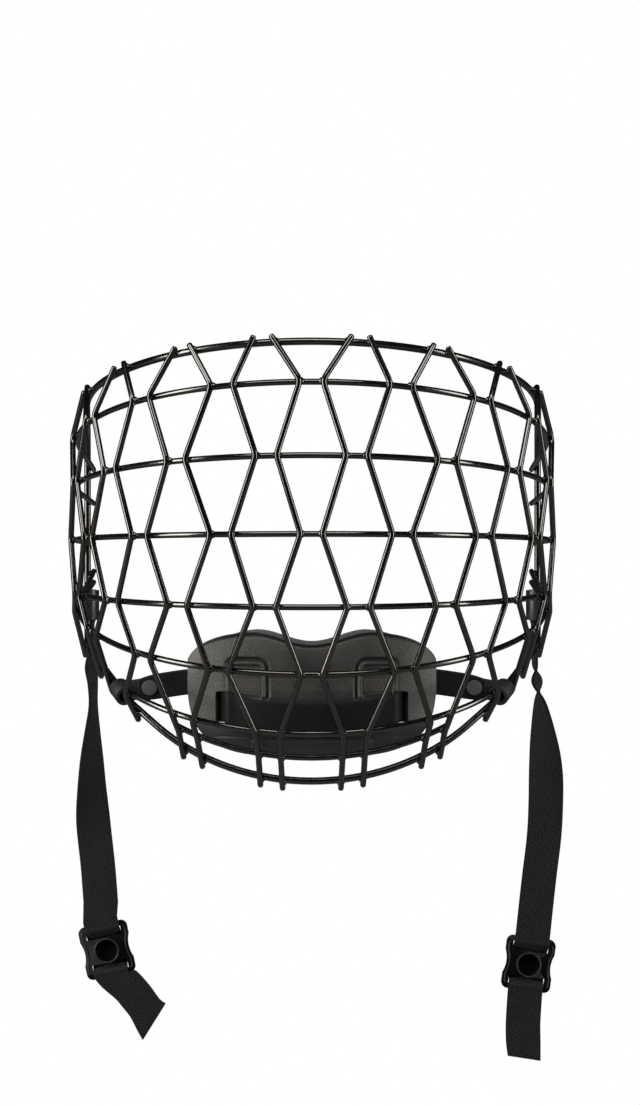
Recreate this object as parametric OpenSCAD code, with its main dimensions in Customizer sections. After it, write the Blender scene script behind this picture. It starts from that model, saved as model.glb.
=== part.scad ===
// Ringette face mask: a welded wire cage with a hung chin cup and two helmet straps.
// Millimetres, +Z up, the face opens toward +Y. The origin is the front of the top edge wire.

/* [Wires] */
// Diameter of the edge wire that runs round the whole cage
edge_d = 3.2; // [2.8:0.1:4]
// Diameter of the horizontal bars
bar_d = 2.6; // [2.2:0.1:3.2]
// Diameter of the zigzag uprights
upright_d = 2.6; // [2.2:0.1:3]
// How deep two crossing wires melt into each other at a weld
weld = 0.2; // [0.1:0.05:0.25]
// Length of upright left standing past the edge wire
upright_tip = 2.8; // [2.4:0.1:4]
// Inner bend radius of an upright where it crosses a bar
upright_bend = 5; // [4:0.5:7]

/* [Cage] */
// Turn round the face from one row of crossings to the next, in degrees
pitch_a = 10.3; // [9.8:0.1:10.5]
// Half of the gap between paired uprights, in degrees
gap_a = 2.7; // [2.2:0.1:3.4]
// Radius of the top edge seen from above
top_r = 102; // [98:0.5:104]
// Radius of the bottom edge under the chin
bottom_r = 96; // [92:0.5:98]
// How much wider than the top edge's radius the rear side wires stand, each side
rear_flare = 4; // [3:0.5:6]
// Depth from the top edge's front to the rear side wires
rear_y = 140; // [136:1:146]
// Height of the lower rear corner, below the origin
rear_low_z = 130.5; // [130:0.5:133]
// How far a bar runs on past the wire that it is welded to
bar_tip = 2; // [1.5:0.1:3]

/* [Side keepers] */
// Outer diameter of the keeper's sleeve on the rear wire
sleeve_d = 11; // [9:0.5:12]
// Running clearance between a sleeve and its wire
sleeve_gap = 0.3; // [0.2:0.05:0.4]
// Height of the keeper
keeper_h = 14; // [13:0.5:14.5]
// Thickness of the keeper's plate
keeper_t = 4; // [3.6:0.2:5]
// Diameter of the bar that the strap folds round
strap_bar_d = 3.4; // [3:0.1:3.8]

/* [Straps] */
// Width of the webbing
web_w = 16.5; // [15:0.5:17.5]
// Thickness of the webbing
web_t = 1.3; // [1.1:0.1:1.5]
// Length of the sewn lap under the fold
lap_len = 11; // [9:0.5:14]

/* [Snap sliders] */
// Height of the slider along the strap
slider_h = 25.3; // [24.6:0.1:27]
// Width of the slider across the strap
slider_w = 23.5; // [22:0.5:26]
// Thickness of the slider's plate
slider_t = 2.2; // [2:0.1:2.4]
// Outer diameter of the snap socket
socket_od = 12; // [11.8:0.1:12.4]
// Inner diameter of the snap socket
socket_id = 10.5; // [10:0.1:10.8]
// How far the snap socket stands in front of the plate
socket_h = 2.3; // [1.8:0.1:3]

/* [Chin cup] */
// Half of the cup's width
cup_x = 54; // [50:1:56]
// Outer radius of the cup seen from above
cup_r = 95; // [90:1:105]
// Distance from the top edge's front back to the cup's front
cup_y = 34; // [32:1:38]
// Height of the cup's side corners, below the origin
cup_mid_z = 134.6; // [133:0.2:136]
// Drop from the side corners to the bottom of the cup
cup_drop = 41; // [38:0.5:42]
// Wall of the moulded cup
cup_wall = 2.5; // [2:0.1:3]
// Thickness of the foam liner at the middle of the chin
liner_t = 7; // [5:0.5:9]
// How much thicker the liner is toward its sides, so that it cups the chin
liner_bowl = 9; // [5:0.5:11]
// Thickness of the chin strap
chin_t = 1.8; // [1.5:0.1:2]
// Height of the chin strap's broad front panel
chin_h = 15; // [13:0.5:15.5]
// Diameter of the rivet in each end of the chin strap
rivet_d = 3.6; // [3:0.2:4]

/* [Hidden] */

wire_fn = 24;
arc_fn = 120;
wire_color = [0.07, 0.065, 0.06];
plastic_color = [0.1, 0.1, 0.1];
web_color = [0.13, 0.13, 0.14];
cup_color = [0.16, 0.16, 0.16];
foam_color = [0.24, 0.24, 0.25];

// One row per level, from the top edge (0) to the bottom edge (8):
// plan radius, Y of the front, Z of the front, slope down to the rear in degrees,
// degrees that the innermost pair stands further out, and this level's share of gap_a
level = [[top_r, 0, 0, 13.4, 0.8, 0.98],
    [top_r + 4, -4, -17, 12, -0.7, 0.92],
    [top_r + 4.5, -8, -47.4, 6.4, -0.5, 0.85],
    [top_r + 4.5, -9, -79.7, 1.2, -0.6, 0.87],
    [top_r + 3.7, -7, -109.8, -2.7, 0, 0.93],
    [top_r + 3.2, -1, -137.7, -15, 0.4, 0.85],
    [top_r + 1, 10, -163, -25, -0.3, 1.02],
    [bottom_r + 3, 19, -173.7, -43, -0.3, 1],
    [bottom_r, 28, -184.4, -51, -0.3, 1.03]];
// Heights where bars 1 to 5 meet the rear side wire
bar_rear_z = [0, -48, -64, -83, -96.5, -101.5];

function unit(v) = v / norm(v);
function euler(x, y, z) = [atan2(y[2], z[2]), asin(max(-1, min(1, -x[2]))), atan2(x[1], x[0])];
function aim(d) = [0, acos(max(-1, min(1, d[2]))), atan2(d[1], d[0])];
function mirror_x(p, side) = [p[0] * side, p[1], p[2]];

// Turn of an arc of radius r from its front until its tangent points at (x, t)
function arc_turn(r, x, t) = atan2(x, r - t) - acos(r / sqrt(x * x + (t - r) * (t - r)));
function radius(i) = level[i][0];
function slope(i) = level[i][3];
function at_plan(i, x, t) = [x, level[i][1] + t * cos(slope(i)), level[i][2] - t * sin(slope(i))];
function on_level(i, a) = at_plan(i, radius(i) * sin(a), radius(i) * (1 - cos(a)));
function out_of(i, a) = [sin(a), -cos(a) * cos(slope(i)), cos(a) * sin(slope(i))];

// Corner points of the edge wire's right half, from the top front to the bottom front
rear_x = top_r + rear_flare;
top_t = rear_y / cos(slope(0));
top_turn = arc_turn(top_r, rear_x, top_t);
temple = at_plan(0, rear_x, top_t);
rear_low = [rear_x, rear_y, -rear_low_z];
jaw_rear = [rear_x - 6, 92, -131.5];
jaw_front = [0.4 * bottom_r + 40.6, 50, -152];
jaw_rise = norm([jaw_front[1] - level[8][1], jaw_front[2] - level[8][2]]);
bottom_turn = arc_turn(bottom_r, jaw_front[0], jaw_rise);
bottom_corner = [bottom_r * tan(bottom_turn / 2), level[8][1], level[8][2]];
edge_path = [[0, 0, 0], [top_r * tan(top_turn / 2), 0, 0], temple, rear_low, jaw_rear,
    jaw_front, bottom_corner, [0, level[8][1], level[8][2]]];
edge_bend = [0, top_r, 16, 12, 40, 10, bottom_r, 0];

// Where an upright sits: angle at a level, by its number counted from the middle
straight_row = [1, 0, 1, 0, 1, 0, 1, 1, 1];
// Share by which the pitch grows with each pair outwards
pitch_growth = 0.0035; // [0:0.0005:0.008]
function pair_a(n, i) = n * pitch_a * (1 + pitch_growth * n) + (n == 1 || n == 2 ? level[i][4] : 0);
function half_gap(i) = gap_a * level[i][5];
function upright_a(k, i) = straight_row[i] == 1
    ? pair_a(2 * floor(k / 2) + 1, i) + (k % 2 == 0 ? -1 : 1) * half_gap(i)
    : pair_a(2 * floor((k + 1) / 2), i) + (k % 2 == 0 ? 1 : -1) * half_gap(i);
function level_d(i) = i == 0 || i == 8 ? edge_d : bar_d;
function stack(i) = level_d(i) / 2 + upright_d / 2 - weld;
function crossing(k, i) = on_level(i, upright_a(k, i)) + stack(i) * out_of(i, upright_a(k, i));

// Uprights 5 to 8 end on the jaw: start and end of that stretch, and the way along it in mm
jaw_from = [bottom_corner, jaw_front, jaw_front, jaw_rear];
jaw_to = [jaw_front, jaw_rear, jaw_rear, rear_low];
jaw_run = [48.5, 17, 31, 7];
function jaw_dir(j) = unit(jaw_to[j] - jaw_from[j]);
function jaw_point(j) = jaw_from[j] + jaw_run[j] * jaw_dir(j);
function jaw_out(j, came) = let(n = unit(cross(jaw_dir(j), unit(jaw_point(j) - came)))) n[0] < 0 ? -n : n;

function last_bar(k) = k <= 3 ? 8 : k == 4 ? 6 : 5;
function bar_crossings(k) = [for (i = [0 : last_bar(k)]) crossing(k, i)];
function upright_foot(k) = let(j = k - 4, c = crossing(k, last_bar(k)))
    jaw_point(j) + (edge_d / 2 + upright_d / 2 - weld) * jaw_out(j, c);
function run_on(p, q) = q + upright_tip * unit(q - p);
function upright_path(k) = let(b = bar_crossings(k),
    body = k <= 3 ? b : concat(b, [upright_foot(k)]), n = len(body))
    concat([run_on(body[1], body[0])], body, [run_on(body[n - 2], body[n - 1])]);

// Rings of a wire along a path with one bend radius per corner: [centre, direction] each
function turn_at(p, i) = acos(max(-1, min(1, unit(p[i] - p[i - 1]) * unit(p[i + 1] - p[i]))));
function elbow_rings(p, r, i) = let(a = unit(p[i] - p[i - 1]), b = unit(p[i + 1] - p[i]),
    inward = unit(b - (a * b) * a), turn = turn_at(p, i), n = max(2, ceil(turn / (r > 30 ? 5 : 15))),
    start = p[i] - r * tan(turn / 2) * a)
    [for (s = [0 : n]) let(f = turn * s / n)
        [start + r * (1 - cos(f)) * inward + r * sin(f) * a, cos(f) * a + sin(f) * inward]];
function half_rings(p, r) = [for (i = [1 : len(p) - 2]) each elbow_rings(p, r[i], i)];
function end_ring(p) = [p[len(p) - 1], unit(p[len(p) - 1] - p[len(p) - 2])];
function flip_ring(q) = [mirror_x(q[0], -1), [q[1][0], -q[1][1], -q[1][2]]];
function backward(q, from, to) = [for (i = [to : -1 : from]) flip_ring(q[i])];

// Tube of tube_n sides through rings; refs are directions that never lie along the wire
tube_n = 8;
function tube_points(rings, refs, d) = [for (i = [0 : len(rings) - 1])
    let(u = unit(cross(rings[i][1], refs[i])), v = cross(rings[i][1], u), r = d / 2 / cos(90 / tube_n))
    for (j = [0 : tube_n - 1]) let(a = 360 * (j + 0.5) / tube_n)
        rings[i][0] + r * (cos(a) * u + sin(a) * v)];
function tube_walls(n, closed) = [for (i = [0 : (closed ? n - 1 : n - 2)]) for (j = [0 : tube_n - 1])
    let(a = tube_n * i + j, b = tube_n * i + (j + 1) % tube_n,
        c = tube_n * ((i + 1) % n) + j, e = tube_n * ((i + 1) % n) + (j + 1) % tube_n)
    each [[a, c, e], [a, e, b]]];
function tube_caps(n) = concat([for (j = [1 : tube_n - 2]) [0, j, j + 1]],
    [for (j = [1 : tube_n - 2]) let(z = tube_n * (n - 1)) [z, z + j + 1, z + j]]);
module tube(rings, refs, d, closed = false) {
    n = len(rings);
    polyhedron(tube_points(rings, refs, d),
        concat(closed ? [] : tube_caps(n), tube_walls(n, closed)), convexity = 10);
}

cage_centre = [0, rear_y / 2, -95];
module edge_wire() color(wire_color) {
    half = half_rings(edge_path, edge_bend);
    loop = concat(half, backward(half, 1, len(half) - 2));
    tube(loop, [for (q = loop) unit(q[0] - cage_centre)], edge_d, true);
}

// Bars 1 to 5 lap the inner side of the rear wire
lap_x = rear_x - edge_d / 2 - bar_d / 2 + weld;
module long_bar(i) color(wire_color) {
    t = (rear_y - level[i][1]) / cos(slope(i));
    turn = arc_turn(radius(i), lap_x, t);
    corner = at_plan(i, radius(i) * tan(turn / 2), 0);
    leave = at_plan(i, radius(i) * sin(turn), radius(i) * (1 - cos(turn)));
    kink = leave + 12 * unit(leave - corner);
    rear = [lap_x, rear_y, bar_rear_z[i]];
    path = [at_plan(i, 0, 0), corner, kink, rear + bar_tip * unit(rear - kink)];
    half = concat(half_rings(path, [0, radius(i), 40, 0]), [end_ring(path)]);
    rings = concat(backward(half, 1, len(half) - 1), half);
    tube(rings, [for (q = rings) [0, 0, 1]], bar_d);
}

// Bars 6 and 7 are short arcs that end just past an upright
module short_bar(i, k) color(wire_color)
    translate(at_plan(i, 0, radius(i))) rotate([-slope(i), 0, 0]) {
        reach = upright_a(k, i) + (bar_tip + upright_d / 2) / radius(i) * 180 / PI;
        rotate([0, 0, -90 - reach]) rotate_extrude(angle = 2 * reach, $fn = arc_fn)
            translate([radius(i), 0]) circle(d = bar_d, $fn = wire_fn);
    }

// Upright: a wire through its crossings, with a small bend at each
function bend_rings(p, i) = let(a = unit(p[i] - p[i - 1]), b = unit(p[i + 1] - p[i]),
    t = upright_bend * tan(turn_at(p, i) / 2) + 0.3) [for (f = [0, 0.5, 1])
        [(1 - f) * (1 - f) * (p[i] - t * a) + 2 * f * (1 - f) * p[i] + f * f * (p[i] + t * b),
            unit((1 - f) * a + f * b)]];
module upright(side, k) color(wire_color) mirror([side < 0 ? 1 : 0, 0, 0]) {
    p = upright_path(k);
    rings = concat([[p[0], unit(p[1] - p[0])]], [for (i = [1 : len(p) - 2]) each bend_rings(p, i)],
        [end_ring(p)]);
    tube(rings, [for (q = rings) [1, 0, 0]], upright_d);
}

// Side keeper: a sleeve on the rear wire with a plate, a slot and a bar for the strap
keeper_top_z = -105;
keeper_bottom_z = keeper_top_z - keeper_h;
post = 2.6;
slot_len = web_w + 0.5;
slot_h = 4.5;
slot_y = sleeve_d / 2 - 0.3;
bar_z = 2.2;
plate_end = slot_y + slot_len + post;
strap_y = rear_y + slot_y + slot_len / 2;
strap_bar_z = keeper_bottom_z + bar_z;

module side_keeper(side) color(plastic_color)
    translate([side * rear_x, rear_y, keeper_bottom_z]) difference() {
        union() {
            cylinder(d = sleeve_d, h = keeper_h, $fn = 48);
            translate([-keeper_t / 2, 0, 0]) cube([keeper_t, plate_end - 3, keeper_h]);
            translate([-keeper_t / 2, plate_end - 3, 3]) cube([keeper_t, 3, keeper_h - 6]);
            for (z = [3, keeper_h - 3]) translate([-keeper_t / 2, plate_end - 3, z])
                rotate([0, 90, 0]) cylinder(r = 3, h = keeper_t, $fn = 48);
        }
        translate([0, 0, -1]) cylinder(d = edge_d + 2 * sleeve_gap, h = keeper_h + 2, $fn = 48);
        difference() {
            translate([-keeper_t, slot_y, -1]) cube([keeper_t * 2, slot_len,
                1 + bar_z + strap_bar_d / 2 + slot_h]);
            translate([0, slot_y - 1, bar_z]) rotate([-90, 0, 0])
                cylinder(d = strap_bar_d, h = slot_len + 2, $fn = 48);
        }
    }

// The webbing's end: folded round the keeper's bar and sewn to itself
fold_gap = 0.25;
fold_ri = strap_bar_d / 2 + fold_gap;
fold_ro = fold_ri + web_t;
module strap_fold(side) color(web_color)
    translate([side * rear_x, strap_y + web_w / 2, strap_bar_z]) rotate([90, 0, 0]) difference() {
        union() {
            cylinder(r = fold_ro, h = web_w, $fn = 48);
            linear_extrude(web_w) polygon([[-web_t * 1.5, -fold_ri - 0.3], [-web_t, -fold_ro - 2],
                [-web_t, -fold_ro - lap_len], [web_t, -fold_ro - lap_len], [web_t, -fold_ro - 2],
                [web_t * 1.5, -fold_ri - 0.3]]);
        }
        translate([0, 0, -1]) cylinder(r = fold_ri, h = web_w + 2, $fn = 48);
    }

// Ribbon: a flat band swept through centre points, each with its width direction and half width
function along(p, i) = unit(p[min(len(p) - 1, i + 1)] - p[max(0, i - 1)]);
web_cols = 4;
function web_ring(p, s, w, t, i) = let(d = along(p, i), n = unit(cross(d, s[i])) * t / 2, a = s[i] * w[i])
    [for (j = [0 : web_cols]) p[i] + a * (2 * j / web_cols - 1) - n,
        for (j = [web_cols : -1 : 0]) p[i] + a * (2 * j / web_cols - 1) + n];
module ribbon(p, s, w, t) {
    n = len(p);
    m = 2 * (web_cols + 1);
    points = [for (i = [0 : n - 1]) each web_ring(p, s, w, t, i)];
    polyhedron(points, concat(
        [for (j = [0 : web_cols - 1]) each [[j, j + 1, m - 2 - j], [j, m - 2 - j, m - 1 - j]]],
        [for (i = [0 : n - 2]) for (j = [0 : m - 1]) let(a = m * i + j, b = m * i + (j + 1) % m)
            each [[a, a + m, b + m], [a, b + m, b]]],
        [for (j = [0 : web_cols - 1]) let(e = m * (n - 1))
            each [[e + j, e + m - 2 - j, e + j + 1], [e + j, e + m - 1 - j, e + m - 2 - j]]]),
        convexity = 8);
}

// Smooth curve through hand-set rows: 3 steps per stretch
function spline(q, i, f) = let(n = len(q), a = q[max(0, i - 1)], b = q[i], c = q[min(n - 1, i + 1)],
    d = q[min(n - 1, i + 2)]) 0.5 * (2 * b + (c - a) * f + (2 * a - 5 * b + 4 * c - d) * f * f
    + (3 * b - a - 3 * c + d) * f * f * f);
function smooth_rows(q) = concat([for (i = [0 : len(q) - 2]) for (f = [0, 1 / 3, 2 / 3]) spline(q, i, f)],
    [q[len(q) - 1]]);

// Hanging stretch of each strap: X, Z and twist (0 edge-on from the front, 90 facing it)
route_left = [[-105.6, -142, 12], [-104.8, -150, 8], [-104.6, -160, 6], [-105, -172, 17],
    [-105.3, -186, 33], [-105.2, -202, 50], [-104.4, -218, 74], [-102.4, -236, 90], [-101, -254, 90]];
route_right = [[106, -142, 0], [107, -149, 20], [108.4, -158, -10], [109.8, -172, -35],
    [111, -188, -62], [111.2, -204, -84], [110.4, -222, -90], [108, -242, -90], [105.9, -261, -90]];
fold_end_z = strap_bar_z - fold_ro - lap_len;
// The routes are written for rear wires that stand 106 mm from the middle
out_by = rear_x - 106;
function from_fold(route, side) = concat([[side * rear_x, fold_end_z, 0],
    [side * rear_x, fold_end_z - 4, 0]], [for (q = route) q + [side * out_by, 0, 0]]);

// The slider hangs square to the strap, with the webbing over its two end bars
slider_left = [-98.2 - out_by, -277];
slider_right = [103 + out_by, -283.7];
slider_tilt_left = 12;
slider_tilt_right = -8;
slider_y = strap_y + slider_t / 2 + 0.2 + web_t / 2;
thread_n = slider_t / 2 + 0.2 + web_t / 2;
slot_mid = 8.1;
slot_half = 2.1;
function down_dir(tilt) = [sin(tilt), 0, -cos(tilt)];
function in_slider(c, tilt, s, n) = [c[0], slider_y - n, c[1]] + s * down_dir(tilt);
web_s = 1.64;
weave = [[-slot_mid - 7, 1], [-slot_mid - web_s, 1], [-slot_mid + web_s, -1], [-2, -1], [2, -1],
    [slot_mid - web_s, -1], [slot_mid + web_s, 1], [slot_mid + 4, 1]];
function strap_points(route, side, c, tilt) = let(r = smooth_rows(from_fold(route, side)))
    concat([for (q = r) [q[0], strap_y, q[1]]], [in_slider(c, tilt, -slot_mid - 7, thread_n)]);
function strap_sides(route, side, tilt) = let(r = smooth_rows(from_fold(route, side)))
    concat([for (q = r) [sin(q[2]), cos(q[2]), 0]], [[side * -cos(tilt), 0, side * -sin(tilt)]]);

module strap(route, side, c, tilt) color(web_color) {
    p = strap_points(route, side, c, tilt);
    ribbon(p, strap_sides(route, side, tilt), [for (q = p) web_w / 2], web_t);
}

// Free tail below the slider: X and Z of the centre, then the cut end's two corners
tail_left = [[-89.4, -293], [-84, -299], [-79.4, -305.2]];
end_left = [[-80.9, -319.7], [-70.1, -302.4]];
tail_right = [[100.8, -303], [100.3, -312], [100.4, -320]];
end_right = [[93, -327.2], [108.6, -329.6]];
function flat3(q, side) = [q[0] + side * out_by, strap_y, q[1]];
function flat_dir(a, b) = let(d = unit(b - a)) [-d[1], 0, d[0]];

module strap_tail(side, c, tilt, tail, end) color(web_color) {
    held = [for (q = weave) in_slider(c, tilt, q[0], q[1] * thread_n)];
    tip = (flat3(end[0], side) + flat3(end[1], side)) / 2;
    p = concat(held, [for (q = tail) flat3(q, side)], [tip]);
    across = [cos(tilt), 0, sin(tilt)];
    free = [for (i = [0 : len(tail) - 1]) let(a = i == 0 ? held[7] : flat3(tail[i - 1], side),
        b = i == len(tail) - 1 ? tip : flat3(tail[i + 1], side)) flat_dir([a[0], a[2]], [b[0], b[2]])];
    s = concat([for (q = held) across], free, [unit(flat3(end[1], side) - flat3(end[0], side))]);
    w = concat([for (i = [0 : len(p) - 2]) web_w / 2], [norm(end[1] - end[0]) / 2]);
    ribbon(p, s, w, web_t);
}

module snap_slider(c, tilt) color(plastic_color)
    translate([c[0], slider_y, c[1]]) rotate([0, -tilt, 0]) rotate([90, 0, 0]) difference() {
        union() {
            translate([0, 0, -slider_t / 2]) linear_extrude(slider_t) difference() {
                union() {
                    square([slider_w - 6, slider_h], center = true);
                    square([slider_w, slider_h - 6], center = true);
                    for (x = [-1, 1], y = [-1, 1])
                        translate([x * (slider_w / 2 - 3), y * (slider_h / 2 - 3)]) circle(r = 3, $fn = 48);
                }
                for (x = [-1, 1]) translate([x * (slider_w / 2 + 12.8), 0]) circle(r = 14, $fn = 96);
                for (y = [-1, 1]) translate([0, y * slot_mid])
                    square([web_w + 0.6, 2 * slot_half], center = true);
            }
            cylinder(d = socket_od, h = slider_t / 2 + socket_h, $fn = 64);
        }
        translate([0, 0, -slider_t / 2 + 0.8]) cylinder(d = socket_id, h = slider_t + socket_h, $fn = 64);
    }

// Chin cup: x across, v from 0 at the bottom edge to 1 at the top edge
function rim_low(x) = -cup_mid_z - cup_drop * pow(max(0, 1 - pow(abs(x) / (cup_x + 0.2), 3.6)), 1 / 3.6);
function rim_top(x) = -cup_mid_z + 13.4 * pow(max(0, 1 - pow(abs(x) / (cup_x + 0.2), 4.4)), 0.65)
    - (abs(x) < 27 ? 5.6 * (1 + cos(180 * x / 27)) / 2 : 0);
curl_z = -158;
function curl(z) = z < curl_z ? 9 * pow((curl_z - z) / 17.5, 2) : 0;
function lean(z) = z > -140 ? 0.012 * pow(z + 140, 2) : 0;
function cup_point(x, z, depth) = let(r = cup_r - depth, a = asin(x / cup_r))
    [r * sin(a), cup_y + cup_r - r * cos(a) + curl(z) + lean(z), z];
cup_n = 24;
cup_m = 9;
function cup_x_at(i, half) = half * sin(-90 + 180 * i / cup_n);

// Closed skin between two grids of cup_n + 1 by cup_m + 1 points
module skin(front, back) {
    m = cup_m + 1;
    n = (cup_n + 1) * m;
    polyhedron(concat(front, back), concat(
        [for (i = [0 : cup_n - 1]) for (j = [0 : cup_m - 1]) let(a = i * m + j)
            each [[a, a + 1, a + m + 1], [a, a + m + 1, a + m]]],
        [for (i = [0 : cup_n - 1]) for (j = [0 : cup_m - 1]) let(a = n + i * m + j)
            each [[a, a + m + 1, a + 1], [a, a + m, a + m + 1]]],
        [for (i = [0 : cup_n - 1]) for (e = [0, cup_m]) let(a = i * m + e, b = a + m)
            each (e == 0 ? [[a, b, b + n], [a, b + n, a + n]] : [[a, b + n, b], [a, a + n, b + n]])],
        [for (j = [0 : cup_m - 1]) for (e = [0, cup_n]) let(a = e * m + j, b = a + 1)
            each (e == 0 ? [[a, b + n, b], [a, a + n, b + n]] : [[a, b, b + n], [a, b + n, a + n]])]),
        convexity = 8);
}
function cup_grid(depth) = [for (i = [0 : cup_n]) for (j = [0 : cup_m])
    let(x = cup_x_at(i, cup_x), v = j / cup_m, lo = rim_low(x), hi = rim_top(x))
    cup_point(x, lo + (hi - lo) * v, depth)];
function liner_swell(i, j) = pow(max(0, sin(180 * j / cup_m)), 0.5)
    * pow(max(0, sin(180 * i / cup_n)), 0.35);

// Slots for the chin strap, and the two framed windows over them
chin_slot_x = 38.3;
chin_slot_w = 6.4;
chin_slot_z = -153.9;
module cup_cut(x, z, w, h, deep) {
    a = asin(x / cup_r);
    translate([0, cup_y + cup_r, z]) rotate([0, 0, a]) translate([-w / 2, -cup_r - 5, -h / 2])
        cube([w, 5 + deep, h]);
}
module chin_cup_shell() color(cup_color) difference() {
    skin(cup_grid(0), cup_grid(cup_wall));
    for (side = [-1, 1]) {
        cup_cut(side * chin_slot_x, chin_slot_z, chin_slot_w, 13.7, cup_wall + 6);
        cup_cut(side * 28.5, -143, 14, 15, 1);
    }
}

// Foam liner: a crowned pad that lies in the shell and leaves room for the strap at its sides.
// Its rim rises over the shell's and sinks behind it toward the sides
liner_half = 35.3;
liner_gap = 0.3;
function liner_grid(rise, back) = [for (i = [0 : cup_n]) for (j = [0 : cup_m])
    let(x = cup_x_at(i, liner_half), v = j / cup_m, lo = rim_low(x) + 1.5,
        hi = rim_top(x) + rise * (1 - pow(x / liner_half, 4)),
        deep = back == 0 ? 0
            : 2.5 + (liner_t - 2.5 + liner_bowl * pow(x / liner_half, 2)) * liner_swell(i, j))
    cup_point(x, lo + (hi - lo) * v, cup_wall + liner_gap + deep)];
module chin_cup_liner() color(foam_color) skin(liner_grid(1.5, 0), liner_grid(1.5, 1));

// Loop keeper round the jaw wire, with a tongue that the chin strap is riveted to
loop_at = jaw_front + 9.5 * unit(jaw_rear - jaw_front);
loop_dir = unit(jaw_rear - jaw_front);
loop_len = 8.5;
loop_d = 9;
strap_edge = [55, 56.6, -143.6];
tongue_dir = unit(strap_edge - loop_at);
tongue_len = 17;
tongue_t = 1.8;
tongue_w = 9;
face_n = unit(cross([0, 0, 1], tongue_dir));
front_n = face_n[1] < 0 ? face_n : -face_n;
tongue_up = unit(cross(tongue_dir, front_n));
rivet_at = loop_at + 12.5 * tongue_dir;
function tongue_turn() = euler(tongue_dir, cross(front_n, tongue_dir), front_n);

module chin_keeper(side) color(plastic_color) mirror([side < 0 ? 1 : 0, 0, 0]) difference() {
    union() {
        translate(loop_at) rotate(aim(loop_dir)) translate([0, 0, -loop_len / 2])
            cylinder(d = loop_d, h = loop_len, $fn = 48);
        translate(loop_at) rotate(tongue_turn()) translate([0, 0, -tongue_t / 2]) {
            translate([0, -tongue_w / 2, 0]) cube([tongue_len - tongue_w / 2, tongue_w, tongue_t]);
            translate([tongue_len - tongue_w / 2, 0, 0]) cylinder(d = tongue_w, h = tongue_t, $fn = 48);
        }
    }
    // The bore widens toward both ends, so that the loop can rock on the wire
    translate(loop_at) rotate(aim(loop_dir)) rotate_extrude($fn = 48) difference() {
        translate([0, -loop_len]) square([edge_d / 2 + sleeve_gap + 9, 2 * loop_len]);
        translate([edge_d / 2 + sleeve_gap + 9, 0]) circle(r = 9, $fn = 96);
        translate([edge_d / 2 + 2, -loop_len - 1]) square([20, 2 * loop_len + 2]);
    }
    translate(rivet_at) rotate(tongue_turn()) translate([0, 0, -5])
        cylinder(d = rivet_d + 0.2, h = 10, $fn = 48);
}

module chin_rivet(side) color(plastic_color) mirror([side < 0 ? 1 : 0, 0, 0])
    translate(rivet_at) rotate(tongue_turn()) {
        translate([0, 0, -tongue_t / 2 - 0.1]) cylinder(d = rivet_d, h = tongue_t + chin_t + 0.4, $fn = 48);
        translate([0, 0, tongue_t / 2 + chin_t + 0.3]) cylinder(d = rivet_d + 3, h = 1, $fn = 48);
        translate([0, 0, -tongue_t / 2 - 1.1]) cylinder(d = rivet_d + 3, h = 1, $fn = 48);
    }

// Chin strap, right half: in front of the cup, in through the slot, out behind the cup's edge
band_z = -158.9;
run_z = -143.6;
front_gap = 0.3 + chin_t / 2;
function band_point(a, depth, z) = let(r = cup_r - depth)
    [r * sin(a), cup_y + cup_r - r * cos(a) + curl(z), z];
slot_a = asin(chin_slot_x / cup_r);
weave_a = (cup_wall / 2 + front_gap) / cup_r * 180 / PI * 0.95;
inner_depth = cup_wall + front_gap;
strap_end = loop_at + 7 * tongue_dir + (tongue_t / 2 + 0.1 + chin_t / 2) * front_n;
strap_bend = loop_at + 19 * tongue_dir + (tongue_t / 2 + 0.1 + chin_t / 2) * front_n;
half_rows = concat(
    [for (a = [0 : 4 : 20]) [band_point(a, -front_gap, band_z + 3.4 * pow(a / 24, 2)), chin_h / 2]],
    [[band_point(slot_a - weave_a, -front_gap, chin_slot_z), 6.75],
        [band_point(slot_a + weave_a, inner_depth, chin_slot_z + 0.1), 6.75],
        [band_point(slot_a + 5.8, inner_depth, chin_slot_z + 3.4), 6],
        [band_point(slot_a + 9.3, inner_depth, run_z - 1), 5.8],
        [band_point(slot_a + 11.8, inner_depth, run_z), 5.6],
        [strap_bend, 5.6], [rivet_at + (strap_bend - loop_at - 19 * tongue_dir), 5.4], [strap_end, 4.4]]);
function flip(row) = [mirror_x(row[0], -1), row[1]];
rows = concat([for (i = [len(half_rows) - 1 : -1 : 1]) flip(half_rows[i])], half_rows);
module chin_strap() color(cup_color) difference() {
    ribbon([for (q = rows) q[0]], [for (q = rows) [0, 0, 1]], [for (q = rows) q[1]], chin_t);
    for (side = [0, 1]) mirror([side, 0, 0]) translate(rivet_at) rotate(tongue_turn())
        translate([0, 0, -5]) cylinder(d = rivet_d + 0.2, h = 10, $fn = 48);
}

edge_wire();
long_bar(1);  // bar_1
long_bar(2);  // bar_2
long_bar(3);  // bar_3
long_bar(4);  // bar_4
long_bar(5);  // bar_5
short_bar(6, 4);  // bar_6
short_bar(7, 3);  // bar_7
upright(-1, 0);  // upright_left_1
upright(-1, 1);  // upright_left_2
upright(-1, 2);  // upright_left_3
upright(-1, 3);  // upright_left_4
upright(-1, 4);  // upright_left_5
upright(-1, 5);  // upright_left_6
upright(-1, 6);  // upright_left_7
upright(-1, 7);  // upright_left_8
upright(1, 0);  // upright_right_1
upright(1, 1);  // upright_right_2
upright(1, 2);  // upright_right_3
upright(1, 3);  // upright_right_4
upright(1, 4);  // upright_right_5
upright(1, 5);  // upright_right_6
upright(1, 6);  // upright_right_7
upright(1, 7);  // upright_right_8
side_keeper(-1);  // side_keeper_left
side_keeper(1);  // side_keeper_right
strap_fold(-1);  // strap_fold_left
strap_fold(1);  // strap_fold_right
strap(route_left, -1, slider_left, slider_tilt_left);  // strap_left
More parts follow.
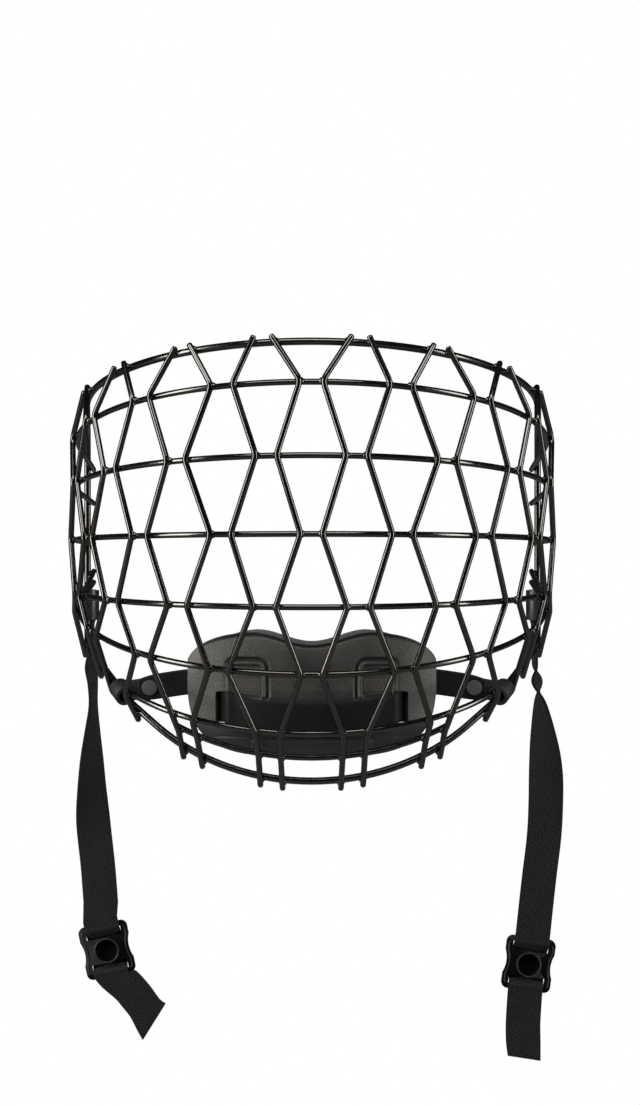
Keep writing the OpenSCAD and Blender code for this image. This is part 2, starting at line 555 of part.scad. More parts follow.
strap(route_right, 1, slider_right, slider_tilt_right);  // strap_right
snap_slider(slider_left, slider_tilt_left);  // snap_slider_left
snap_slider(slider_right, slider_tilt_right);  // snap_slider_right
strap_tail(-1, slider_left, slider_tilt_left, tail_left, end_left);  // strap_tail_left
strap_tail(1, slider_right, slider_tilt_right, tail_right, end_right);  // strap_tail_right
chin_keeper(-1);  // chin_keeper_left
chin_keeper(1);  // chin_keeper_right
chin_rivet(-1);  // chin_rivet_left
chin_rivet(1);  // chin_rivet_right
chin_strap();
chin_cup_shell();
chin_cup_liner();
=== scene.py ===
"""Looks of the wire face mask: dip-coated cage, moulded chin cup, foam liner and woven straps."""

from contextlib import contextmanager
from math import acos, asin, atan2, ceil, cos, degrees, floor, pi, radians, sin, sqrt, tan

import bpy
from bpy.props import FloatProperty, FloatVectorProperty, IntProperty, PointerProperty
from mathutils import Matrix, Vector


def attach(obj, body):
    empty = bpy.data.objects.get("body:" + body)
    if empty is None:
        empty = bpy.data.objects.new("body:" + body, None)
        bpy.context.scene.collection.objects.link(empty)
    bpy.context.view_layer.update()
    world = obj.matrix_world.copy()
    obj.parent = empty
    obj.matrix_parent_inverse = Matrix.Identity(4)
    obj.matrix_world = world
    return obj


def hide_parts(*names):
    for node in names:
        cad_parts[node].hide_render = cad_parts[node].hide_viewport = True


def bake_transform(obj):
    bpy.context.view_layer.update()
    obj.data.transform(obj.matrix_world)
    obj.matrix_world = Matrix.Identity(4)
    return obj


bl_info = {
    "name": "Wire Face Mask",
    "version": (1, 0, 0),
    "blender": (4, 5, 0),
    "location": "View3D > Sidebar > Face Mask",
    "description": "Builds the looks of a hanging wire face mask around its CAD frame",
    "category": "Add Mesh",
}

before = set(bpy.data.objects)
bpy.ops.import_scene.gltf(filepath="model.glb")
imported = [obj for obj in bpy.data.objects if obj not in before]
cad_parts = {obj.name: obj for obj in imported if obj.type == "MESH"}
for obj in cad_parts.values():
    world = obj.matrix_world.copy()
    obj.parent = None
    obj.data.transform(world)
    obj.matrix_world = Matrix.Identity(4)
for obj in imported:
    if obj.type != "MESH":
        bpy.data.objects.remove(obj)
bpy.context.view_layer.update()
MM = 0.001

# Cage levels from the top edge to the bottom edge: plan radius, front Y, front Z, slope in degrees,
# degrees that the innermost pair stands further out, and the level's share of the gap
LEVELS = (
    (102, 0, 0, 13.4, 0.8, 0.98),
    (106, -4, -17, 12, -0.7, 0.92),
    (106.5, -8, -47.4, 6.4, -0.5, 0.85),
    (106.5, -9, -79.7, 1.2, -0.6, 0.87),
    (105.7, -7, -109.8, -2.7, 0, 0.93),
    (105.2, -1, -137.7, -15, 0.4, 0.85),
    (103, 10, -163, -25, -0.3, 1.02),
    (99, 19, -173.7, -43, -0.3, 1),
    (96, 28, -184.4, -51, -0.3, 1.03),
)
TOP, BOTTOM = 0, 8
BAR_REAR_Z = (0, -48, -64, -83, -96.5, -101.5)
STRAIGHT_ROWS = (True, False, True, False, True, False, True, True, True)
# Upright at which each short bar ends, and the lowest level that each upright of a side crosses
SHORT_BARS = {6: 4, 7: 3}
LAST_LEVEL = (8, 8, 8, 8, 6, 5, 5, 5)
PITCH_A = 10.3
PITCH_GROWTH = 0.0035
GAP_A = 2.7
EDGE_D = 3.2
BAR_D = 2.6
UPRIGHT_D = 2.6
WELD = 0.2
REAR_X = 106
REAR_Y = 140
REAR_LOW = Vector((106, 140, -130.5))
JAW_REAR = Vector((100, 92, -131.5))
JAW_FRONT = Vector((79, 50, -152))
UPRIGHT_TIP = 2.8
UPRIGHT_BEND = 5
BEND_RUN = 0.3
BEND_STEPS = 6
# Runs along the jaw wire to uprights 5 to 8, then the edge wire's bends from temple to front jaw
JAW_RUN = (48.5, 17, 31, 7)
EDGE_BENDS = (16, 12, 40, 10)
# Bends over this radius are drawn with the fine step, in degrees
WIDE_BEND = 30
FINE_STEP = 2
BEND_STEP = 12
BAR_KINK = 12
BAR_KINK_BEND = 40
BAR_TIP = 2
SHORT_BAR_STEPS = 60

# Rounding of a coated wire's tip: places in diameters from the end, and share of the full radius
TIP_PLACES = (0, 0.06, 0.2, 0.45)
TIP_RADII = (0.45, 0.78, 0.95, 1.0)
SADDLE_FLATNESS = 0.62

# Straps: X, Z and twist in degrees down each free stretch, at one depth
STRAP_Y = 153.7
FOLD_END_Z = -131.05
WEB_W = 16.5
WEB_T = 1.3
WEB_CROWN = 0.12
BAND_COLUMNS = 8
ROUTE_STEPS = 6
TIGHT_STEPS = 4
ROUTES = {
    "left": (
        (-105.6, -142, 12), (-104.8, -150, 8), (-104.6, -160, 6), (-105, -172, 17),
        (-105.3, -186, 33), (-105.2, -202, 50), (-104.4, -218, 74), (-102.4, -236, 90),
        (-101, -254, 90),
    ),
    "right": (
        (106, -142, 0), (107, -149, 20), (108.4, -158, -10), (109.8, -172, -35),
        (111, -188, -62), (111.2, -204, -84), (110.4, -222, -90), (108, -242, -90),
        (105.9, -261, -90),
    ),
}
SLIDERS = {"left": (-98.2, -277, 12), "right": (103, -283.7, -8)}
SLIDER_Y = 155.65
SLIDER_W = 23.5
WAIST_R = 14
WAIST_OUT = 12.8
RAIL_HALF = 10.2
RAIL_INSET = 1.25
BORE_R = 5.22
RING_STEPS = 40
# Socket lip and inner ring: radius, place out of the slider's middle and thickness
SOCKET_RINGS = ((5.63, 3.36, 0.72), (4.85, -0.05, 0.8))
THREAD_N = 1.95
SLOT_MID = 8.1
WEB_S = 1.64
# The band's way through a slider: places down its middle line, and in front (1) or behind (-1)
THREADING = (
    (-SLOT_MID - 7, 1), (-SLOT_MID - 3.6, 1), (-SLOT_MID - WEB_S, 1), (-SLOT_MID + WEB_S, -1),
    (-3, -1), (0, -1), (3, -1), (SLOT_MID - WEB_S, -1), (SLOT_MID + WEB_S, 1), (SLOT_MID + 4, 1),
)
TAILS = {
    "left": ((-89.4, -293), (-84, -299), (-79.4, -305.2)),
    "right": ((100.8, -303), (100.3, -312), (100.4, -320)),
}
TAIL_ENDS = {
    "left": ((-80.9, -319.7), (-70.1, -302.4)),
    "right": ((93, -327.2), (108.6, -329.6)),
}
SIDES = {"left": -1, "right": 1}
STRAP_BAR_Z = -116.8
FOLD_RI = 1.95
FOLD_RO = 3.25
FOLD_START = -125
FOLD_TURN = 290
FOLD_NECK = 1.6
SEAM_GAP = 0.02

# Chin cup
CUP_R = 95
CUP_Y = 34
CUP_X = 54
CUP_MID_Z = 134.6
CUP_DROP = 41
CUP_WALL = 2.5
CUP_RISE = 13.4
DIP_X = 27
DIP_DEEP = 5.6
SLOT_X = 38.3
SLOT_Z = -153.9
SLOT_W = 6.4
SLOT_H = 13.7
CURL_FROM = -158
CURL_RUN = 17.5
CURL_OUT = 9
LEAN_FROM = -140
LEAN = 0.012
LINER_HALF = 35.3
LINER_RIM_T = 2.5
LINER_MID_T = 7
LINER_END_T = 9

# Relief of the cup's face: boxes as middle X and Z, half sizes and corner, then depths
WINDOW = (28.5, -143, 7, 7.5, 2)
PANEL = (0, -147, 18.5, 8, 3)
LOW_PANEL = (0, -171.6, 19.5, 3.2, 1)
WINDOW_DEEP = 1.2
TRENCH_DEEP = 1.6
PANEL_DEEP = 0.45
LOW_PANEL_DEEP = 0.6
RIM_GROOVE_DEEP = 1.1
LINE_Z = -166.6
LINE_DEEP = 0.5
RIB_X = (21.7, 25.2)
RIB_HIGH = 1.1

# Stage in metres: the lamps as place, width, height and share of the key power
CAMERA_AT = (0.0035, -1.0, -0.0873)
LAMP_AIM = (0, 0.05, -0.12)
LAMPS = (
    ("Key Softbox", (-1.3, -0.5, 0.25), 0.45, 1.1, 0.7),
    ("Fill Softbox", (1.35, -0.4, 0.15), 0.35, 1.1, 0.45),
    ("Top Softbox", (-0.1, -0.8, 1.1), 1.2, 0.5, 0.5),
)
WORLD_LEVEL = 0.03
FLOOR_SIDE = 8
FLOOR_GREY = (0.25, 0.25, 0.25, 1)


def unit(v):
    return v.normalized()


# Route helpers of the cage, in millimetres


def arc_turn(r, x, t):
    """Turn of an arc from its front until its tangent points at (x, t), in radians."""
    return atan2(x, r - t) - acos(r / sqrt(x * x + (t - r) ** 2))


def at_plan(i, x, t):
    s = radians(LEVELS[i][3])
    return Vector((x, LEVELS[i][1] + t * cos(s), LEVELS[i][2] - t * sin(s)))


def on_level(i, a):
    r = LEVELS[i][0]
    return at_plan(i, r * sin(a), r * (1 - cos(a)))


def out_of(i, a):
    s = radians(LEVELS[i][3])
    return Vector((sin(a), -cos(a) * cos(s), cos(a) * sin(s)))


def elbow(corner, before, after, radius, step):
    """Points of a bend at a corner, as a bender leaves it."""
    a = unit(corner - before)
    b = unit(after - corner)
    turn = acos(max(-1, min(1, a.dot(b))))
    if turn < 1e-4:
        return [corner]
    inward = unit(b - a * a.dot(b))
    start = corner - a * radius * tan(turn / 2)
    count = max(4, ceil(turn / radians(step)))
    points = []
    for n in range(count + 1):
        f = turn * n / count
        points.append(start + inward * radius * (1 - cos(f)) + a * radius * sin(f))
    return points


def half_loop(path, bends):
    points = []
    for i in range(1, len(path) - 1):
        step = FINE_STEP if bends[i] > WIDE_BEND else BEND_STEP
        points += elbow(path[i], path[i - 1], path[i + 1], bends[i], step)
    return points


def mirrored(points):
    return [Vector((-p.x, p.y, p.z)) for p in reversed(points)]


def edge_points():
    """The edge wire's closed route: top arc, temples, rear side wires, jaw and bottom arc."""
    top_r, low_r = LEVELS[TOP][0], LEVELS[BOTTOM][0]
    low_front = at_plan(BOTTOM, 0, 0)
    temple_t = REAR_Y / cos(radians(LEVELS[TOP][3]))
    top = Vector((top_r * tan(arc_turn(top_r, REAR_X, temple_t) / 2), 0, 0))
    temple = at_plan(TOP, REAR_X, temple_t)
    rise = sqrt((JAW_FRONT.y - low_front.y) ** 2 + (JAW_FRONT.z - low_front.z) ** 2)
    low = low_front + Vector((low_r * tan(arc_turn(low_r, JAW_FRONT.x, rise) / 2), 0, 0))
    path = [at_plan(TOP, 0, 0), top, temple, REAR_LOW, JAW_REAR, JAW_FRONT, low, low_front]
    half = half_loop(path, (0, top_r, *EDGE_BENDS, low_r, 0))
    left = mirrored(half)
    return half + left[1:-1], low


def long_bar_points(i):
    r = LEVELS[i][0]
    lap_x = REAR_X - EDGE_D / 2 - BAR_D / 2 + WELD
    t = (REAR_Y - LEVELS[i][1]) / cos(radians(LEVELS[i][3]))
    turn = arc_turn(r, lap_x, t)
    corner = at_plan(i, r * tan(turn / 2), 0)
    leave = at_plan(i, r * sin(turn), r * (1 - cos(turn)))
    kink = leave + unit(leave - corner) * BAR_KINK
    rear = Vector((lap_x, REAR_Y, BAR_REAR_Z[i]))
    tip = rear + unit(rear - kink) * BAR_TIP
    path = [at_plan(i, 0, 0), corner, kink, tip]
    half = half_loop(path, (0, r, BAR_KINK_BEND, 0)) + [tip]
    return mirrored(half)[:-1] + half


def upright_angle(k, i):
    if STRAIGHT_ROWS[i]:
        pair, way = 2 * floor(k / 2) + 1, -1 if k % 2 == 0 else 1
    else:
        pair, way = 2 * floor((k + 1) / 2), 1 if k % 2 == 0 else -1
    angle = pair * PITCH_A * (1 + PITCH_GROWTH * pair) + way * GAP_A * LEVELS[i][5]
    return radians(angle + (LEVELS[i][4] if pair in (1, 2) else 0))


def short_bar_points(i, k):
    reach = upright_angle(k, i) + (BAR_TIP + UPRIGHT_D / 2) / LEVELS[i][0]
    count = SHORT_BAR_STEPS
    return [on_level(i, reach * (2 * n / count - 1)) for n in range(count + 1)]


def upright_route(k, low_corner):
    """Corner points of an upright and the middles of its welds, each with its outward direction."""
    crossings = []
    welds = []

    def meet(at, out, diameter):
        crossings.append(at + out * (diameter / 2 + UPRIGHT_D / 2 - WELD))
        welds.append((at + out * (diameter / 2 - WELD / 2), out))

    for i in range(LAST_LEVEL[k] + 1):
        a = upright_angle(k, i)
        meet(on_level(i, a), out_of(i, a), EDGE_D if i in (TOP, BOTTOM) else BAR_D)
    if LAST_LEVEL[k] < BOTTOM:
        start = (low_corner, JAW_FRONT, JAW_FRONT, JAW_REAR)[k - 4]
        stop = (JAW_FRONT, JAW_REAR, JAW_REAR, REAR_LOW)[k - 4]
        along = unit(stop - start)
        at = start + along * JAW_RUN[k - 4]
        out = unit(along.cross(unit(at - crossings[-1])))
        meet(at, -out if out.x < 0 else out, EDGE_D)
    top = crossings[0] + unit(crossings[0] - crossings[1]) * UPRIGHT_TIP
    foot = crossings[-1] + unit(crossings[-1] - crossings[-2]) * UPRIGHT_TIP
    return [top] + crossings + [foot], welds


def bent(corners):
    """The corners' route with a small bend at each, as an upright is formed."""
    points = [corners[0]]
    for i in range(1, len(corners) - 1):
        p = corners[i]
        a = unit(p - corners[i - 1])
        b = unit(corners[i + 1] - p)
        reach = UPRIGHT_BEND * tan(acos(max(-1, min(1, a.dot(b)))) / 2) + BEND_RUN
        for n in range(BEND_STEPS + 1):
            f = n / BEND_STEPS
            blend = (p - a * reach) * (1 - f) ** 2 + p * 2 * f * (1 - f)
            points.append(blend + (p + b * reach) * f * f)
    return points + [corners[-1]]


# Blender helpers


def deselect():
    bpy.ops.object.select_all(action="DESELECT")


def make_active(obj):
    deselect()
    obj.select_set(True)
    bpy.context.view_layer.objects.active = obj


def apply_modifiers(obj):
    make_active(obj)
    for modifier in list(obj.modifiers):
        bpy.ops.object.modifier_apply(modifier=modifier.name)


def settle(obj):
    """Puts the piece's place into its mesh."""
    make_active(obj)
    bpy.ops.object.transform_apply(location=True, rotation=True, scale=True)


def smooth(obj, angle):
    make_active(obj)
    bpy.ops.object.shade_smooth_by_angle(angle=radians(angle))


@contextmanager
def editing(obj):
    """Edit mode with the whole mesh selected."""
    make_active(obj)
    bpy.ops.object.mode_set(mode="EDIT")
    bpy.ops.mesh.select_all(action="SELECT")
    yield
    bpy.ops.object.mode_set(mode="OBJECT")


def add_bevel(obj, width, segments, angle):
    """Rounds the edges that are sharper than an angle in degrees, and applies all modifiers."""
    bevel = obj.modifiers.new("Edges", "BEVEL")
    bevel.width = width * MM
    bevel.segments = segments
    bevel.limit_method = "ANGLE"
    bevel.angle_limit = radians(angle)
    apply_modifiers(obj)


def join(pieces, name):
    deselect()
    for piece in pieces:
        piece.select_set(True)
    bpy.context.view_layer.objects.active = pieces[0]
    bpy.ops.object.join()
    pieces[0].name = name
    return pieces[0]


def add_wire(name, points, diameter, closed=False, sides=2):
    """A round wire swept through points in millimetres, with tips that the coating rounded."""
    deselect()
    bpy.ops.curve.primitive_bezier_curve_add()
    obj = bpy.context.object
    obj.name = name
    obj.location = (0, 0, 0)
    curve = obj.data
    curve.splines.clear()
    radii = [1.0] * len(points)
    if not closed:
        ends = []
        for tip, back in ((points[0], points[1]), (points[-1], points[-2])):
            ends.append([tip + unit(back - tip) * diameter * d for d in TIP_PLACES])
        points = ends[0] + points[1:-1] + ends[1][::-1]
        radii = [*TIP_RADII, *radii[2:], *TIP_RADII[::-1]]
    spline = curve.splines.new("POLY")
    spline.points.add(len(points) - 1)
    for point, p, r in zip(spline.points, points, radii):
        point.co = (p.x * MM, p.y * MM, p.z * MM, 1)
        point.radius = r
    spline.use_cyclic_u = closed
    curve.dimensions = "3D"
    curve.bevel_depth = diameter / 2 * MM
    curve.bevel_resolution = sides
    curve.use_fill_caps = not closed
    make_active(obj)
    bpy.ops.object.convert(target="MESH")
    obj = bpy.context.object
    smooth(obj, 60)
    return obj


def add_welds(name, welds, reach):
    """Small saddles of coating where wires meet: copies of one flattened ball, joined."""
    deselect()
    bpy.ops.mesh.primitive_ico_sphere_add(subdivisions=2, radius=reach * MM, calc_uvs=False)
    saddle = bpy.context.object
    saddle.scale = (1, 1, SADDLE_FLATNESS)
    settle(saddle)
    copies = []
    for place, out in welds:
        copy = bpy.data.objects.new(name, saddle.data.copy())
        copy.location = place * MM
        copy.rotation_euler = out.to_track_quat("Z", "Y").to_euler()
        bpy.context.collection.objects.link(copy)
        copies.append(copy)
    bpy.data.objects.remove(saddle)
    obj = join(copies, name)
    settle(obj)
    smooth(obj, 60)
    return obj


def add_grid(name, columns, rows, place):
    """A grid whose vertices go where place(u, v) says, in millimetres, u and v from 0 to 1."""
    deselect()
    bpy.ops.mesh.primitive_grid_add(x_subdivisions=columns, y_subdivisions=rows, size=1)
    obj = bpy.context.object
    obj.name = name
    for vertex in obj.data.vertices:
        u = round((vertex.co.x + 0.5) * columns) / columns
        v = round((vertex.co.y + 0.5) * rows) / rows
        vertex.co = place(u, v) * MM
    return obj


def add_pad(name, columns, rows, front_place, back_place):
    """A closed body between two surfaces laid over one grid."""
    front = add_grid(name, columns, rows, front_place)
    back = add_grid(name + "_back", columns, rows, back_place)
    with editing(back):
        bpy.ops.mesh.flip_normals()
    pad = join([front, back], name)
    with editing(pad):
        bpy.ops.mesh.select_all(action="DESELECT")
        bpy.ops.mesh.select_mode(type="EDGE")
        bpy.ops.mesh.select_non_manifold(extend=False, use_wire=False, use_boundary=True,
                                         use_multi_face=False, use_non_contiguous=False,
                                         use_verts=False)
        bpy.ops.mesh.bridge_edge_loops()
        bpy.ops.mesh.select_all(action="SELECT")
        bpy.ops.mesh.normals_make_consistent(inside=False)
    return pad


def catmull(rows, i, f):
    last = len(rows) - 1
    a, b, c, d = (rows[max(0, i - 1)], rows[i], rows[min(last, i + 1)], rows[min(last, i + 2)])
    return tuple(
        0.5 * (2 * q + (r - p) * f + (2 * p - 5 * q + 4 * r - s) * f * f
               + (3 * q - p - 3 * r + s) * f ** 3)
        for p, q, r, s in zip(a, b, c, d)
    )


def smooth_rows(rows, steps):
    out = []
    for i in range(len(rows) - 1):
        out += [catmull(rows, i, n / steps) for n in range(steps)]
    return out + [tuple(rows[-1])]


# Shader node groups


class Nodes:
    """Short calls that add and link nodes in one tree."""

    def __init__(self, tree):
        self.tree = tree

    def link(self, source, target):
        self.tree.links.new(source, target)

    def feed(self, target, value):
        if isinstance(value, bpy.types.NodeSocket):
            self.link(value, target)
        else:
            target.default_value = value

    def new(self, kind):
        return self.tree.nodes.new("ShaderNode" + kind)

    def fill(self, node, **values):
        """Links or sets a node's inputs by name, with underscores for spaces."""
        for label, value in values.items():
            self.feed(node.inputs[label.replace("_", " ")], value)
        return node.outputs

    def math(self, operation, a, b=0.0, clamp=False):
        node = self.new("Math")
        node.operation = operation
        node.use_clamp = clamp
        self.feed(node.inputs[0], a)
        self.feed(node.inputs[1], b)
        return node.outputs[0]

    def times(self, value, *others):
        for other in others:
            value = self.math("MULTIPLY", value, other)
        return value

    def plus(self, a, b):
        return self.math("ADD", a, b)

    def over(self, a, b):
        return self.math("DIVIDE", a, b)

    def noise(self, vector, scale, detail=3.0, roughness=0.5):
        return self.fill(self.new("TexNoise"), Vector=vector, Scale=scale, Detail=detail,
                         Roughness=roughness)["Fac"]

    def cells(self, vector, scale):
        return self.fill(self.new("TexVoronoi"), Vector=vector, Scale=scale)["Distance"]

    def spread(self, value, low, high, to_low=0.0, to_high=1.0):
        node = self.new("MapRange")
        node.interpolation_type = "SMOOTHSTEP"
        return self.fill(node, Value=value, From_Min=low, From_Max=high, To_Min=to_low,
                         To_Max=to_high)["Result"]

    def mix(self, factor, a, b):
        node = self.new("Mix")
        node.data_type = "RGBA"
        self.feed(node.inputs["Factor"], factor)
        self.feed(node.inputs[6], a)
        self.feed(node.inputs[7], b)
        return node.outputs[2]

    def split(self, vector):
        return self.fill(self.new("SeparateXYZ"), Vector=vector)

    def group(self, tree, **values):
        node = self.new("Group")
        node.node_tree = tree
        return self.fill(node, **values)

    def bump(self, height, strength, distance):
        return self.fill(self.new("Bump"), Strength=strength, Distance=distance,
                         Height=height)["Normal"]


def new_group(name, inputs, outputs):
    """A node group: inputs by name with their defaults, None for a vector, and plain outputs."""
    group = bpy.data.node_groups.new(name, "ShaderNodeTree")
    for label, default in inputs.items():
        kind = "NodeSocketVector" if default is None else "NodeSocketFloat"
        socket = group.interface.new_socket(name=label, in_out="INPUT", socket_type=kind)
        if default is not None:
            socket.default_value = default
    for label in outputs:
        group.interface.new_socket(name=label, in_out="OUTPUT", socket_type="NodeSocketFloat")
    source = group.nodes.new("NodeGroupInput")
    return group, Nodes(group), source.outputs, group.nodes.new("NodeGroupOutput")


def grain_group():
    """Fine pebble of a moulded or coated skin, with broad patches of handling and dust."""
    group, n, source, sink = new_group(
        "Skin Grain", {"Vector": None, "Scale": 900.0, "Patches": 40.0}, ("Height", "Patch", "Dust"))
    vector, scale = source["Vector"], source["Scale"]
    pebble = n.cells(vector, scale)
    fine = n.noise(vector, n.times(scale, 2.2), 2.0)
    height = n.plus(n.times(pebble, 0.7), n.times(fine, 0.5))
    patch = n.spread(n.noise(vector, source["Patches"], 4.0, 0.6), 0.3, 0.7)
    dust = n.times(n.spread(n.noise(vector, 2600.0, 2.0), 0.66, 0.78), patch)
    n.fill(sink, Height=height, Patch=patch, Dust=dust)
    return group


def weave_group():
    """Plain tape weave in the band's own UV map, in metres: warp ribs, picks and fibre fuzz."""
    group, n, source, sink = new_group(
        "Tape Weave", {"UV": None, "Pitch": 0.0011, "Width": 0.016}, ("Height", "Shade", "Selvedge"))
    uv = n.split(source["UV"])
    pitch = source["Pitch"]
    across = n.over(uv[0], pitch)
    down = n.over(uv[1], n.times(pitch, 0.8))
    row = n.math("MODULO", n.math("FLOOR", across), 2.0)
    shifted = n.plus(down, n.times(row, 0.5))
    warp = n.math("ABSOLUTE", n.math("SINE", n.times(across, pi)))
    pick = n.math("ABSOLUTE", n.math("SINE", n.times(shifted, pi)))
    yarn = n.times(n.math("POWER", warp, 0.6), n.math("POWER", pick, 0.7))
    fuzz = n.noise(source["UV"], 5200.0, 3.0, 0.7)
    edge = n.math("ABSOLUTE", n.math("SUBTRACT", n.over(uv[0], source["Width"]), 0.5))
    # The colour mask: painted highlight on the yarn crowns and painted shade in the valleys between
    # them, plus the fuzz's own lighter tone
    n.fill(sink, Height=n.plus(yarn, n.times(fuzz, 0.35)),
           Shade=n.math("ADD", n.times(yarn, 0.75), n.times(fuzz, 0.35), clamp=True),
           Selvedge=n.spread(edge, 0.43, 0.455))
    return group


def node_group(name, maker):
    return bpy.data.node_groups.get(name) or maker()


def start_material(name):
    """A new material, its nodes, its Principled shader and its texture coordinates."""
    material = bpy.data.materials.new(name)
    material.use_nodes = True
    n = Nodes(material.node_tree)
    return material, n, n.tree.nodes["Principled BSDF"], n.new("TexCoord").outputs


def tinted(colour, factor):
    return tuple(min(1.0, c * factor) for c in colour[:3]) + (1.0,)


def stipple_group():
    """Raised dots of a moulded stipple between two heights and within a half width, in metres."""
    group, n, source, sink = new_group(
        "Moulded Stipple",
        {"Vector": None, "Pitch": 0.0012, "Low": -0.1465, "High": -0.1415, "Half Width": 0.036},
        ("Dots",))
    x, _, z = n.split(source["Vector"])
    down = n.over(z, n.times(source["Pitch"], 0.75))
    shift = n.times(n.math("MODULO", n.math("ABSOLUTE", n.math("FLOOR", down)), 2.0), 0.5)
    along = n.plus(n.over(x, source["Pitch"]), shift)
    u = n.math("SUBTRACT", n.math("FRACT", along), 0.5)
    v = n.math("SUBTRACT", n.math("FRACT", down), 0.5)
    away = n.math("SQRT", n.plus(n.times(u, u), n.times(v, v)))
    aside = n.math("ABSOLUTE", x)
    inside = n.times(n.math("GREATER_THAN", z, source["Low"]),
                     n.math("LESS_THAN", z, source["High"]),
                     n.math("LESS_THAN", aside, source["Half Width"]))
    flank = n.spread(aside, 0.021, 0.024, 0.3, 1.0)
    n.fill(sink, Dots=n.times(n.spread(away, 0.2, 0.36, 1.0, 0.0), inside, flank))
    return group


# Shares of a skin's own colour in dust, and in the painted highlight on stipple dots and the painted
# shade in grooves
DUST_SHADE = 3.2
PAINTED_DOT_HIGHLIGHT = 7.0
PAINTED_GROOVE_SHADE = 0.12
DOT_HEIGHT = 4.0


def skin_material(name, colour, roughness, grain, depth, patch=1.25, dust=0.35, sheen=0.0,
                  tint=(1.0, 1.0, 1.0), stipple=False, relief=0.5, gloss=0.5):
    """Moulded rubber, plastic or a dip coat: grain in the bump, patches in colour and gloss."""
    made = bpy.data.materials.get(name)
    if made:
        return made
    material, n, shader, coordinates = start_material(name)
    out = n.group(node_group("Skin Grain", grain_group), Vector=coordinates["Object"],
                  Scale=grain, Patches=55.0)
    base = n.mix(out["Patch"], tinted(colour, 1.0), tinted(colour, patch))
    base = n.mix(n.times(out["Dust"], dust), base, tinted(colour, DUST_SHADE))
    height = out["Height"]
    rough = n.spread(out["Patch"], 0.0, 1.0, roughness, min(1.0, roughness + 0.1))
    if stipple:
        dots = n.group(node_group("Moulded Stipple", stipple_group),
                       Vector=coordinates["Object"])["Dots"]
        # Painted highlight: the raised stipple dots drawn many times lighter than the rubber
        base = n.mix(dots, base, tinted(colour, PAINTED_DOT_HIGHLIGHT))
        height = n.plus(height, n.times(dots, DOT_HEIGHT))
        # Painted shade: the cup's grooves and the line above the chin strap drawn darker, from a
        # per-vertex mask
        painted_groove_shade = n.new("Attribute")
        painted_groove_shade.attribute_name = "painted_groove_shade"
        painted_shade = painted_groove_shade.outputs["Fac"]
        base = n.mix(painted_shade, base, tinted(colour, PAINTED_GROOVE_SHADE))
        rough = n.math("MAXIMUM", rough, painted_shade)
    n.fill(shader, Base_Color=base, Roughness=rough, Specular_IOR_Level=gloss,
           Specular_Tint=(*tint, 1.0), Sheen_Weight=sheen, Sheen_Roughness=0.5,
           Normal=n.bump(height, relief, depth))
    return material


def web_material(name, colour, pitch, width):
    """Woven nylon tape: painted shade between the yarns, painted highlight on their crowns, and
    relief from its UV map.
    """
    made = bpy.data.materials.get(name)
    if made:
        return made
    material, n, shader, coordinates = start_material(name)
    out = n.group(node_group("Tape Weave", weave_group), UV=coordinates["UV"],
                  Pitch=pitch, Width=width)
    # Painted highlight on the yarn crowns and painted shade between them, with the fuzz's own tone
    yarn = n.mix(out["Shade"], tinted(colour, 0.35), tinted(colour, 1.5))
    fade = n.spread(n.noise(coordinates["Object"], 90.0, 3.0), 0.35, 0.7)
    worn = n.mix(n.times(fade, 0.25), yarn, tinted(colour, 2.0))
    n.fill(shader, Base_Color=n.mix(n.times(out["Selvedge"], 0.4), worn, tinted(colour, 0.7)),
           Roughness=n.spread(out["Shade"], 0.0, 1.0, 0.95, 0.62), Specular_IOR_Level=0.2,
           Sheen_Weight=0.06, Sheen_Roughness=0.4, Normal=n.bump(out["Height"], 0.9, 0.0003))
    return material


def finish_piece(obj, material, slot):
    obj.data.materials.clear()
    obj.data.materials.append(material)


# Settings


def colour_property(name, description, default):
    return FloatVectorProperty(name=name, description=description, subtype="COLOR", size=3,
                               min=0, max=1, default=default)


class CageSettings(bpy.types.PropertyGroup):
    coat_colour: colour_property(
        "Coat colour", "Colour of the dip coat on the wires", (0.0014, 0.0011, 0.0009))
    coat_roughness: FloatProperty(
        name="Coat roughness", description="Roughness of the dip coat", min=0.05, max=1, default=0.1)
    weld_reach: FloatProperty(
        name="Weld reach", description="Reach of the coating's saddle at a weld, in millimetres",
        min=1, max=3, default=1.85)
    wire_sides: IntProperty(
        name="Wire sides", description="Bevel steps of a round wire", min=2, max=8, default=3)


class StrapSettings(bpy.types.PropertyGroup):
    web_colour: colour_property("Webbing colour", "Colour of the yarn", (0.0055, 0.0052, 0.0055))
    weave_pitch: FloatProperty(
        name="Weave pitch", description="Distance between warp ribs", unit="LENGTH",
        min=0.0005, max=0.003, default=0.0016)
    plastic_colour: colour_property(
        "Plastic colour", "Colour of keepers and sliders", (0.007, 0.007, 0.007))
    stud_colour: colour_property(
        "Stud colour", "Colour of the chin strap's studs", (0.045, 0.044, 0.042))


class CupSettings(bpy.types.PropertyGroup):
    rubber_colour: colour_property(
        "Rubber colour", "Colour of the moulded cup", (0.012, 0.0113, 0.0103))
    foam_colour: colour_property("Foam colour", "Colour of the liner", (0.05, 0.049, 0.048))
    strap_colour: colour_property(
        "Chin strap colour", "Colour of the chin strap", (0.0036, 0.0032, 0.0028))
    columns: IntProperty(
        name="Columns", description="Columns of the moulded cup's mesh", min=48, max=280, default=230)
    rows: IntProperty(
        name="Rows", description="Rows of the moulded cup's mesh", min=24, max=140, default=110)


class StageSettings(bpy.types.PropertyGroup):
    lens: FloatProperty(
        name="Lens", description="Focal length on a 36 mm long side, in millimetres",
        min=20, max=200, default=78.84)
    floor_z: FloatProperty(
        name="Floor height", description="Height of the floor below the mask", unit="LENGTH",
        min=-1, max=0, default=-0.36)
    key_power: FloatProperty(
        name="Key power", description="Power of which each lamp takes a share",
        min=0, max=200, default=36)


